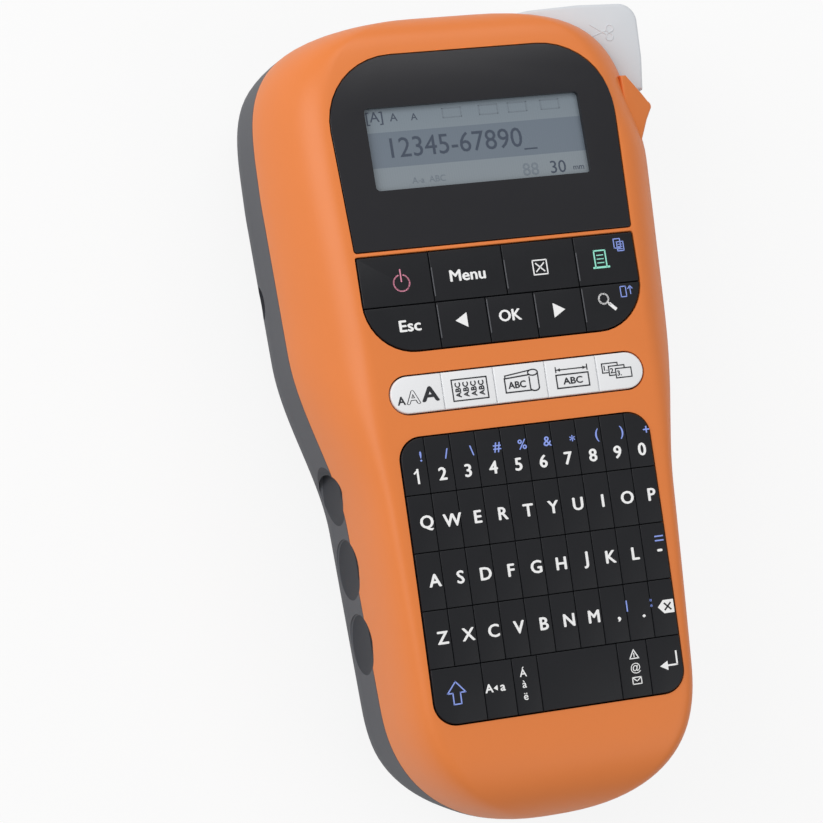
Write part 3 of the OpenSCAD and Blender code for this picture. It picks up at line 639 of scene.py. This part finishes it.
def make_casing():
    gap = 0.14
    far = 150
    recess = prism(panel_outline(0.3), -1.7, 10, matrix=on_face(PANEL_Y))
    through = prism(panel_outline(-1.8), -10, 10, matrix=on_face(PANEL_Y))
    front = carve(
        casing(corner=2.6),
        [
            (CUT, casing(WALL, 2.6)),
            (CUT, solid(((-far, -far, -50), (far, far, SEAM + gap)))),
            (CUT, recess),
            (CUT, through),
            (CUT, prism(pad_outline(0.12), 48, 70)),
            (CUT, prism(strip_outline(0.12), 48, 70)),
            (CUT, prism(keypad_outline(0.12), 48, 70)),
            (CUT, scoops()),
            (CUT, lever_window()),
            (CUT, lever_window_side()),
            (CUT, solid(((-1.5, -110, 30), (8, -95, SEAM + 2.6)))),
        ],
    )
    piece("front_shell_skin", front, orange, "casing", ["front_shell"], 28)
    wells = bmesh.new()
    for x, y in SCREWS:
        rod(wells, (x, y, -1), (x, y, 24), 2.7, 32)
    rear = carve(
        casing(),
        [
            (CUT, casing(WALL)),
            (CUT, solid(((-far, -far, SEAM - gap), (far, far, 90)))),
            (CUT, prism(cover_outline(0.3), -5, WALL + 1)),
            (CUT, scoops()),
            (CUT, lever_window()),
            (CUT, lever_window_side()),
            (CUT, solid(((40, 75.5, 4.6), (60, 80.5, 18.6)))),
            (CUT, wells),
            (CUT, jack_hole()),
        ],
    )
    piece("rear_shell_skin", rear, grey, "casing", ["rear_shell"], 28)
    bosses = bmesh.new()
    for x, y in SCREWS:
        ring(bosses, x, y, 24.0, SEAM + 9, 3.2, 1.25)
        ring(bosses, x, y, 3.0 if abs(x) < 36 else 9.0, 24.1, 3.2, 2.72)
    bosses = carve(bosses, [(CROP, casing(1.2))])
    piece("screw_bosses", bosses, grey, "casing")
    ledge = carve(
        prism(cover_outline(1.8), 2.4, 3.9),
        [(CUT, prism(cover_outline(-1.8), 0, 9)), (CROP, casing(1.2))],
    )
    piece("cover_ledge", ledge, grey, "casing")
    grooves = bmesh.new()
    for i in range(6):
        rod(grooves, (-13, 70 + 2.4 * i, 0), (13, 70 + 2.4 * i, 0), 0.75, 20)
    cover = carve(
        casing(),
        [(CUT, casing(WALL)), (CROP, prism(cover_outline(0), -1, 2.3)), (CUT, grooves)],
    )
    piece("back_cover_skin", cover, grey, "cover", ["back_cover"], 28)
    # The lip fills the seam's gap; its near-black colour is painted shade in the joint between the
    # shells.
    lip = carve(
        casing(0.9),
        [
            (CUT, casing(1.7)),
            (CROP, solid(((-far, -far, SEAM - 1.6), (far, far, SEAM + 1.6)))),
            (CUT, lever_window()),
            (CUT, lever_window_side()),
            (CUT, scoops()),
        ],
    )
    piece("seam_lip", lip, seam_shade_lip, "casing", (), 28)


def ring(bm, x, y, z0, z1, r, hole):
    """A tube, spun from its wall's section."""
    a = bm.verts.new((x + hole, y, z0))
    b = bm.verts.new((x + r, y, z0))
    c = bm.verts.new((x + r, y, z1))
    e = bm.verts.new((x + hole, y, z1))
    edges = [bm.edges.new(p) for p in ((a, b), (b, c), (c, e), (e, a))]
    turn = {"cent": (x, y, 0), "axis": (0, 0, 1), "angle": math.tau}
    bmesh.ops.spin(bm, geom=[a, b, c, e] + edges, steps=32, use_merge=True, **turn)
    bmesh.ops.recalc_face_normals(bm, faces=bm.faces)


def jack_hole():
    bm = bmesh.new()
    rod(bm, (-60, 38, 16), (-46, 38, 16), 4.4, 40)
    return bm


# ---------------------------------------------------------------- display


def make_display():
    flat = on_face(PANEL_Y)
    panel = prism(panel_outline(0), -1.58, -0.02, round_top=0.18, matrix=flat)
    window = prism(rounded(-29.3, 29.3, 58.5, 80.1, 1.1, 1.1), -5, 5, matrix=flat)
    panel = carve(panel, [(CUT, window)])
    piece("display_panel_face", panel, gloss_black, "casing", ["display_panel"], 30)
    glass = prism(rounded(-30.5, 30.5, 57, 81.5, 0.5, 0.5), -5.2, -1.35, matrix=flat)
    piece("display_glass", glass, lcd_face, "casing", ["lcd_module"])
    z = -1.33
    ink, ghost = bmesh.new(), bmesh.new()
    lettering(ink, "12345-67890_", -3.6, 69.2, z, 5.4, 0.0, squeeze=0.95)
    lettering(ink, "[A]", -26.4, 77.6, z, 2.8, 0.02)
    lettering(ink, "A", -21.3, 77.6, z, 2.2, 0.02)
    lettering(ink, "A", -15.8, 77.3, z, 1.9, 0.02)
    lettering(ink, "30", 21.0, 61.0, z, 3.4, 0.02)
    lettering(ink, "mm", 26.6, 60.3, z, 1.5, 0.01)
    lettering(ghost, "88", 13.4, 61.0, z, 3.4, 0.0)
    lettering(ghost, "A-a  ABC", -14.5, 60.8, z, 1.7, 0.0)
    for x in (-8, 2, 10, 19):
        stroke(ghost, [(x, 76.4), (x + 5, 76.4), (x + 5, 78.8), (x, 78.8)], 0.25, z, True)
    marks = (("display_ink_marks", ink, lcd_ink), ("display_ghost_marks", ghost, lcd_ghost))
    for name, bm, look in marks:
        bmesh.ops.transform(bm, matrix=flat, verts=bm.verts)
        piece(name, bm, look, "casing")
    make_bar()


def make_bar():
    """The slim orange bar between the display panel and the function keys."""
    bm = bmesh.new()
    box(bm, (-37.9, 42.12, -2.0), (37.9, 42.98, 0.1), on_face(BAR_Y))
    level = [e for e in bm.edges if abs(e.verts[0].co.z - e.verts[1].co.z) < 0.5]
    rim = [e for e in level if max(v.co.z for v in e.verts) > crown(BAR_Y) - 0.5]
    soften(bm, rim, 0.3, 3)
    piece("pad_bar_bead", bm, orange, "casing")


# ---------------------------------------------------------------- keys

KEY_TOP, KEY_FOOT = 0.5, 54.6
LEGEND = KEY_TOP + 0.01


def key(bm, outline, y, cell, groove=0.07, soft=0.24, top=KEY_TOP):
    """One key of a pad, standing on the mat, with softly rounded upper edges."""
    x0, x1, y0, y1 = cell
    shape = clipped(outline, x0 + groove, x1 - groove, y0 + groove, y1 - groove)
    one = prism(shape, KEY_FOOT - crown(y) + 0.35, top, round_top=soft, segments=4, matrix=on_face(y))
    mesh = bpy.data.meshes.new("key")
    one.to_mesh(mesh)
    one.free()
    bm.from_mesh(mesh)
    bpy.data.meshes.remove(mesh)


def printed(name, draw, look, body, y):
    bm = bmesh.new()
    draw(bm)
    bmesh.ops.transform(bm, matrix=on_face(y), verts=bm.verts)
    piece(name, bm, look, body)


FAR = 70.0  # beyond every outline, for cells that the outline closes


def make_function_keys():
    outline = pad_outline(-0.3)
    mid, split_y = 29.5, 28.9
    upper = ("key_power", "key_menu", "key_clear", "key_print")
    lower = ("key_escape", "key_left", "key_ok", "key_right", "key_preview")
    rows = (
        (upper, (-FAR, -18.5, 1.2, 21, FAR), (split_y, FAR), (30.4, 37.8)),
        (lower, (-FAR, -18.5, -5.1, 7.9, 21, FAR), (-FAR, split_y), (19.6, 28.2)),
    )
    for names, edges, span, (y0, y1) in rows:
        for i, name in enumerate(names):
            bm = bmesh.new()
            key(bm, outline, mid, (edges[i], edges[i + 1], *span), groove=0.1, soft=0.3, top=0.12)
            piece(name + "_cap", bm, key_black, name, [name])
            if i:
                # A lighter grey bead on the edge between two keys: a painted highlight.
                rib, x = bmesh.new(), edges[i] + 0.32
                rod(rib, (x, y0, 0.1), (x, y1, 0.1), 0.17, 10)
                bmesh.ops.transform(rib, matrix=on_face(mid), verts=rib.verts)
                piece(name + "_rib_highlight", rib, rib_highlight_grey, name, (), 60)
    z = 0.13

    def power(bm):
        stroke(bm, circle(-26.6, 34.6, 2.1, 30, 110, 430), 0.34, z)
        stroke(bm, [(-26.6, 35.0), (-26.6, 38.0)], 0.34, z)

    def clear(bm):
        stroke(bm, [(9.1, 33.2), (12.9, 33.2), (12.9, 36.9), (9.1, 36.9)], 0.32, z, True)
        stroke(bm, [(9.9, 34), (12.1, 36.1)], 0.32, z)
        stroke(bm, [(9.9, 36.1), (12.1, 34)], 0.32, z)

    def sheet_icon(bm):
        stroke(bm, [(25.7, 33.4), (29.9, 33.4)], 0.5, z)
        stroke(bm, [(26.2, 33.4), (26.2, 37.8), (29.3, 37.8), (29.3, 33.4)], 0.36, z)
        for k in range(3):
            stroke(bm, [(26.9, 34.6 + k), (28.6, 34.6 + k)], 0.25, z)

    def copies(bm):
        for dx, dy in ((0, 0), (0.8, -0.8)):
            x0, x1, y0, y1 = 32.1 + dx, 33.9 + dx, 38.0 + dy, 40.4 + dy
            stroke(bm, [(x0, y0), (x1, y0), (x1, y1), (x0, y1)], 0.25, z, True)
        for k in range(3):
            stroke(bm, [(33.2, 37.7 + 0.6 * k), (34.3, 37.7 + 0.6 * k)], 0.2, z)

    def words(text, x, y, squeeze=1.0):
        return lambda bm: lettering(bm, text, x, y, z, 3.0, 0.13, squeeze=squeeze)

    def arrow(x, sign):
        tip, tail = x + sign * 1.7, x - sign * 1.5
        points = [(tail, 21.7), (tip, 23.6), (tail, 25.5)][::sign]
        return lambda bm: prism(points, z - 0.02, z + 0.02, bm)

    def glass(bm):
        stroke(bm, circle(26.9, 25.2, 1.3, 24), 0.42, z, True)
        stroke(bm, [(27.9, 24.2), (28.6, 23.5)], 0.4, z)
        stroke(bm, [(28.5, 23.6), (29.7, 22.4)], 0.85, z)

    def feed(bm):
        stroke(bm, [(31.9, 25.2), (33.4, 25.2), (33.4, 27.9), (31.9, 27.9)], 0.25, z, True)
        stroke(bm, [(34.6, 25.8), (34.6, 27.9)], 0.25, z)
        stroke(bm, [(34.0, 27.2), (34.6, 27.9), (35.2, 27.2)], 0.25, z)

    marks = (
        ("power_mark", power, print_pink, "key_power"),
        ("menu_mark", words("Menu", -8.8, 35.1, 1.08), print_white, "key_menu"),
        ("clear_mark", clear, print_white, "key_clear"),
        ("print_mark", sheet_icon, print_mint, "key_print"),
        ("copies_mark", copies, print_blue, "key_print"),
        ("escape_mark", words("Esc", -26.1, 23.6, 1.12), print_white, "key_escape"),
        ("left_mark", arrow(-12.2, -1), print_white, "key_left"),
        ("ok_mark", words("OK", 0.9, 23.6), print_white, "key_ok"),
        ("right_mark", arrow(14.3, 1), print_white, "key_right"),
        ("preview_mark", glass, print_white, "key_preview"),
        ("feed_mark", feed, print_blue, "key_preview"),
    )
    for name, draw, look, body in marks:
        printed(name, draw, look, body, mid)


def make_label_keys():
    outline = strip_outline(-0.3)
    edges = [-FAR] + [0.3 + (i - 1.5) * 14 + 0.6 for i in range(4)] + [FAR]
    kinds = ("size", "style", "frame", "length", "number")
    names = ["label_key_" + kind for kind in kinds]
    y, z = 6.2, 0.36
    hollow = bmesh.new()
    for i, name in enumerate(names):
        bm = bmesh.new()
        key(bm, outline, y, (edges[i], edges[i + 1], -FAR, FAR), groove=0.06, soft=0.4, top=0.35)
        piece(name + "_cap", bm, key_white, name, [name])

    def size(bm):
        lettering(bm, "A", -31.4, 4.9, z, 2.2, 0.09)
        lettering(bm, "A", -28.2, 5.5, z, 3.5, 0.26, squeeze=1.05)
        lettering(hollow, "A", -28.2, 5.5, z + 0.07, 3.5, squeeze=1.05)
        lettering(bm, "A", -23.6, 5.9, z, 3.8, 0.24, squeeze=1.25)

    def style(bm):
        stroke(bm, [(-17.6, 3.3), (-8.2, 3.3), (-8.2, 8.7), (-17.6, 8.7)], 0.34, z, True)
        for k in range(4):
            lettering(bm, "ABC", -16.1 + 2.1 * k, 6.0, z, 1.45, 0.09, 90)

    def tag(bm):
        stroke(bm, [(3.4, 3.9), (-3.4, 3.9), (-3.4, 7.5), (3.2, 7.9)], 0.36, z)
        stroke(bm, [(-3.2, 7.5), (-3.2, 8.2), (3.4, 9.0)], 0.32, z)
        roll = [(4.4 + 1.3 * math.cos(t / 3), 8.4 + 0.75 * math.sin(t / 3)) for t in range(19)]
        stroke(bm, roll, 0.32, z, True)
        under = [(4.5 - 1.2 * math.cos(t / 3), 4.5 - 0.8 * math.sin(t / 3)) for t in range(10)]
        stroke(bm, [(3.3, 7.3), (3.3, 4.6)] + under + [(5.7, 8.2)], 0.34, z)
        lettering(bm, "ABC", -0.2, 5.7, z, 1.8, 0.09)

    def length(bm):
        stroke(bm, [(10.6, 3.5), (19.4, 3.5), (19.4, 6.9), (10.6, 6.9)], 0.36, z, True)
        lettering(bm, "ABC", 15.0, 5.2, z, 1.75, 0.09, squeeze=1.15)
        stroke(bm, [(11.0, 8.2), (19.0, 8.2)], 0.3, z)
        for x, s in ((10.7, 1), (19.3, -1)):
            stroke(bm, [(x, 7.6), (x, 8.9)], 0.3, z)
            tip, tail = x + s * 0.2, x + s * 1.2
            prism([(tip, 8.2), (tail, 7.75), (tail, 8.65)][::s], z - 0.02, z + 0.02, bm)

    def number(bm):
        for k in range(3):
            x, yy = 23.4 + 1.8 * k, 6.1 - 0.8 * k
            pts = [(x, yy), (x + 4.3, yy), (x + 4.3, yy + 2.4), (x, yy + 2.4)]
            if k < 2:
                pts = [(x + 1.8, yy), (x, yy), (x, yy + 2.4), (x + 4.3, yy + 2.4), (x + 4.3, yy + 1.7)]
            stroke(bm, pts, 0.3, z, k == 2)
            lettering(bm, "%d." % (k + 1), x + 0.95, yy + 1.2, z, 1.35, 0.06)

    for kind, draw, body in zip(kinds, (size, style, tag, length, number), names):
        printed(kind + "_mark", draw, print_dark, body, y)
    bmesh.ops.transform(hollow, matrix=on_face(y), verts=hollow.verts)
    piece("size_mark_inside", hollow, key_white, names[0])


def row_y(row):
    return KEYPAD_TOP - (row + 0.5) * PITCH_Y


def key_cell(row, a, b):
    """The keypad's cell between two columns of a row."""
    x, y = -KEYPAD_HALF_W, row_y(row)
    return (x + PITCH_X * a, x + PITCH_X * b, y - PITCH_Y / 2, y + PITCH_Y / 2)


def make_character_keys():
    outline = keypad_outline(-0.3)
    rows = ("keys_digits", "keys_upper_row", "keys_home_row", "keys_lower_row")
    legends = ("1234567890", "QWERTYUIOP", "ASDFGHJKL-", "ZXCVBNM,.")
    legend_y = (-14.4, -26.2, -40.6, -55.0)
    shifted = "!/\\#%&*()+"
    legend_pitch = 6.79
    for row, name in enumerate(rows):
        y = row_y(row)
        bm = bmesh.new()
        for c in range(10):
            key(bm, outline, y, key_cell(row, c, c + 1))
        piece(name + "_caps", bm, key_black, name, [name])

        def white(bm):
            for c, letter in enumerate(legends[row]):
                x, low_y = (c - 4.5) * legend_pitch + (0.35 if row == 0 else 1.18), legend_y[row]
                low = {"-": 0.0, ",": -1.6, ".": -1.6}.get(letter, 0.0)
                if letter == "1":
                    upright = [(x + 0.25, low_y - 1.65), (x + 0.25, low_y + 1.65)]
                    stroke(bm, upright, 0.55, LEGEND)
                    stroke(bm, [(x + 0.1, low_y + 1.4), (x - 0.6, low_y + 0.8)], 0.42, LEGEND + 0.01)
                    continue
                weight = 0.14 if letter not in ",.-" else 0.18
                lettering(bm, letter, x, low_y + low, LEGEND, 3.3, weight)
            if row == 3:
                points = [(30.6, -56.7), (33.4, -56.7), (33.4, -53.3), (30.6, -53.3), (29.0, -55)]
                prism(points, LEGEND - 0.02, LEGEND + 0.02, bm)

        def cross(bm):
            for points in ([(30.9, -54.2), (32.5, -55.8)], [(30.9, -55.8), (32.5, -54.2)]):
                stroke(bm, points, 0.4, LEGEND + 0.03)

        def dots(bm):
            stroke(bm, [(20.6, -52.3), (20.6, -54.8)], 0.35, LEGEND)
            for dot_y in (-52.9, -54.3):
                stroke(bm, circle(27.3, dot_y, 0.15, 8), 0.3, LEGEND, True)

        def dashes(bm):
            for dash_y in (-37.0, -38.1):
                stroke(bm, [(30.9, dash_y), (33.0, dash_y)], 0.35, LEGEND)

        def signs(bm):
            for c, sign in enumerate(shifted):
                x = (c - 4.5) * legend_pitch + 2.0 + 0.03 * c
                lettering(bm, sign, x, -9.5, LEGEND, 2.6, 0.05)

        printed(name + "_legends", white, print_white, name, y)
        if row == 3:
            printed("backspace_cross", cross, key_black, name, y)
        second = {0: signs, 2: dashes, 3: dots}.get(row)
        if second:
            printed(name + "_blue", second, print_blue, name, y)
    y = row_y(4)
    columns = (0, 2, 3.2, 4.2, 7.4, 8.6, 10)
    names = ("key_shift", "key_caps", "key_accent", "key_space", "key_symbol", "key_enter")
    for i, name in enumerate(names):
        bm = bmesh.new()
        key(bm, outline, y, key_cell(4, columns[i], columns[i + 1]))
        piece(name + "_cap", bm, key_black, name, [name])
    z = LEGEND

    def shift(bm):
        x, b = -27.7, -71.8
        head = [(x + 2.4, b + 2.8), (x, b + 5.6), (x - 2.4, b + 2.8)]
        points = [(x - 1, b), (x + 1, b), (x + 1, b + 2.8)] + head + [(x - 1, b + 2.8)]
        stroke(bm, points, 0.32, z, True)

    def caps(bm):
        lettering(bm, "A", -19.05, -69.1, z, 2.2, 0.09)
        lettering(bm, "a", -15.4, -69.4, z, 2.3, 0.09)
        prism([(-17.9, -69.2), (-16.8, -68.5), (-16.8, -69.9)][::-1], z - 0.02, z + 0.02, bm)

    def accent(bm):
        for k, s in enumerate("Áàë"):
            lettering(bm, s, -9.6, -66.2 - 3.1 * k, z, 2.0, 0.04)

    def symbol(bm):
        stroke(bm, [(19.5, -66.9), (21.9, -66.9), (20.7, -64.7)], 0.28, z, True)
        stroke(bm, [(20.7, -66.5), (20.7, -65.6)], 0.25, z)
        lettering(bm, "@", 20.7, -69.4, z, 2.1, 0.03)
        stroke(bm, [(19.5, -73.4), (21.9, -73.4), (21.9, -71.7), (19.5, -71.7)], 0.25, z, True)
        stroke(bm, [(19.5, -71.7), (20.7, -72.7), (21.9, -71.7)], 0.25, z)

    def enter(bm):
        stroke(bm, [(32.2, -66.6), (32.2, -69.9), (28.6, -69.9)], 0.45, z)
        prism([(27.4, -69.9), (29.6, -68.7), (29.6, -71.1)][::-1], z - 0.02, z + 0.02, bm)

    printed("shift_mark", shift, print_blue, "key_shift", y)
    printed("caps_mark", caps, print_white, "key_caps", y)
    printed("accent_mark", accent, print_white, "key_accent", y)
    printed("symbol_mark", symbol, print_white, "key_symbol", y)
    printed("enter_mark", enter, print_white, "key_enter", y)


# ---------------------------------------------------------------- cutter


def make_cutter():
    top_y, side_x = 105.4, 54.4
    outline = [(14, 98.6), (32, 97.2), (40, 93.4), (45.5, 86.4), (46.5, 81.4)]
    outline += [(side_x - 1.2, 81.4), (side_x - 0.2, 90)]
    outline += arc(side_x - 5, top_y - 5.4, 5, 0, 12)
    outline += [(38, top_y), (24, top_y - 0.5), (14, top_y - 2)]
    bm = prism(outline, 20, 43, round_top=0.9, segments=4)
    box(bm, (-15, 93, 34.6), (18, 98.4, 40.6))
    box(bm, (35.9, 84, 20), (44, 97, 26.6))
    box(bm, (37.8, 83.2, 5.4), (39.4, 86.6, 21))
    ring(bm, -15, 95, 34.6, 40.6, 4, 1.56)
    piece("cutter_lever_body", bm, lever_pale, "lever", ["cutter_lever"], 30)
    relief = bmesh.new()
    for points in scissors():
        for a, b in zip(points, points[1:]):
            rod(relief, (*a, 42.98), (*b, 42.98), 0.2, 10)
    piece("scissors_relief", relief, lever_pale, "lever", (), 60)
    wedge = [(45.6, 64.5), (46.9, 64.2), (51.2, 72.6)] + arc(52.0, 76.2, 1.4, -20, 8)
    wedge += [(50.6, 79.6), (45.8, 84.3), (44, 84.3), (44, 64.5)]
    bm = prism(wedge, 44.1, 50.4)
    for v in bm.verts:
        if v.co.z > 50:
            v.co.z -= max(v.co.x - 45.2, 0) * 0.5
    rim = [e for e in bm.edges if all(v.co.z > 44.2 for v in e.verts)]
    soften(bm, rim, 0.7, 4)
    piece("exit_guide_wedge", bm, orange, "casing", ["exit_guide"], 30)


def scissors():
    """Two loops and two crossing blades, as lines on the lever's face."""
    place = Matrix.Translation((43.6, 97.6, 0)) @ Matrix.Rotation(math.radians(172), 4, "Z")
    loops = [circle(-2.3, side * 1.15, 1.0, 18) for side in (1, -1)]
    lines = [points + points[:1] for points in loops]
    lines += [[(-1.5, side * 0.6), (3.3, -side * 1.7)] for side in (1, -1)]
    return [[tuple((place @ Vector((*p, 0))).xy) for p in points] for points in lines]


# ---------------------------------------------------------------- stage


def make_stage():
    bpy.ops.mesh.primitive_plane_add(size=8)
    floor = bpy.context.object
    floor.name = "floor"
    glow_share, world_strength = 0.86, 0.42
    look = Look("floor_white")
    look.set(Base_Color=(0.86, 0.86, 0.86, 1), Roughness=0.8)
    tree = look.tree
    glow = tree.nodes.new("ShaderNodeEmission")
    glow.inputs["Color"].default_value = (1, 1, 1, 1)
    glow.inputs["Strength"].default_value = 1.0
    seen = tree.nodes.new("ShaderNodeLightPath")
    blend = tree.nodes.new("ShaderNodeMixShader")
    share = Val(look, seen.outputs["Is Camera Ray"]) * glow_share
    tree.links.new(share.socket, blend.inputs[0])
    tree.links.new(look.surface.outputs[0], blend.inputs[1])
    tree.links.new(glow.outputs[0], blend.inputs[2])
    tree.links.new(blend.outputs[0], tree.nodes["Material Output"].inputs[0])
    floor.data.materials.append(look.material)

    world = bpy.data.worlds.new("studio")
    bpy.context.scene.world = world
    world.use_nodes = True
    sky = world.node_tree.nodes["Background"].inputs
    sky["Color"].default_value = (1, 1, 1, 1)
    sky["Strength"].default_value = world_strength

    def softbox(name, at, size, power):
        lamp = bpy.data.lights.new(name, "AREA")
        lamp.shape, lamp.energy = "RECTANGLE", power
        lamp.size, lamp.size_y = size
        made = bpy.data.objects.new(name, lamp)
        made.location = at
        made.rotation_euler = (-Vector(at)).to_track_quat("-Z", "Y").to_euler()
        bpy.context.scene.collection.objects.link(made)

    softbox("left_softbox", (-0.9, 0.35, 0.75), (0.7, 0.9), 6.5)
    softbox("top_softbox", (0.15, 0.9, 0.9), (0.9, 0.5), 3.2)
    softbox("fill_softbox", (0.7, -0.5, 1.1), (0.6, 0.6), 1.6)

    lens = bpy.data.cameras.new("camera")
    lens.lens, lens.sensor_width = 136.1, 36.0
    camera = bpy.data.objects.new("camera", lens)
    right, up = (0.94162, -0.13951, 0.30641), (0.10929, 0.98748, 0.11374)
    back = (-0.31844, -0.07361, 0.94508)
    turn = Matrix((right, up, back)).transposed().to_4x4()
    camera.matrix_world = Matrix.Translation((-0.2771, -0.0553, 0.7949)) @ turn
    bpy.context.scene.collection.objects.link(camera)
    bpy.context.scene.camera = camera
    bpy.context.scene.view_settings.view_transform = "Standard"


make_casing()
make_display()
make_function_keys()
make_label_keys()
make_character_keys()
make_cutter()
make_stage()
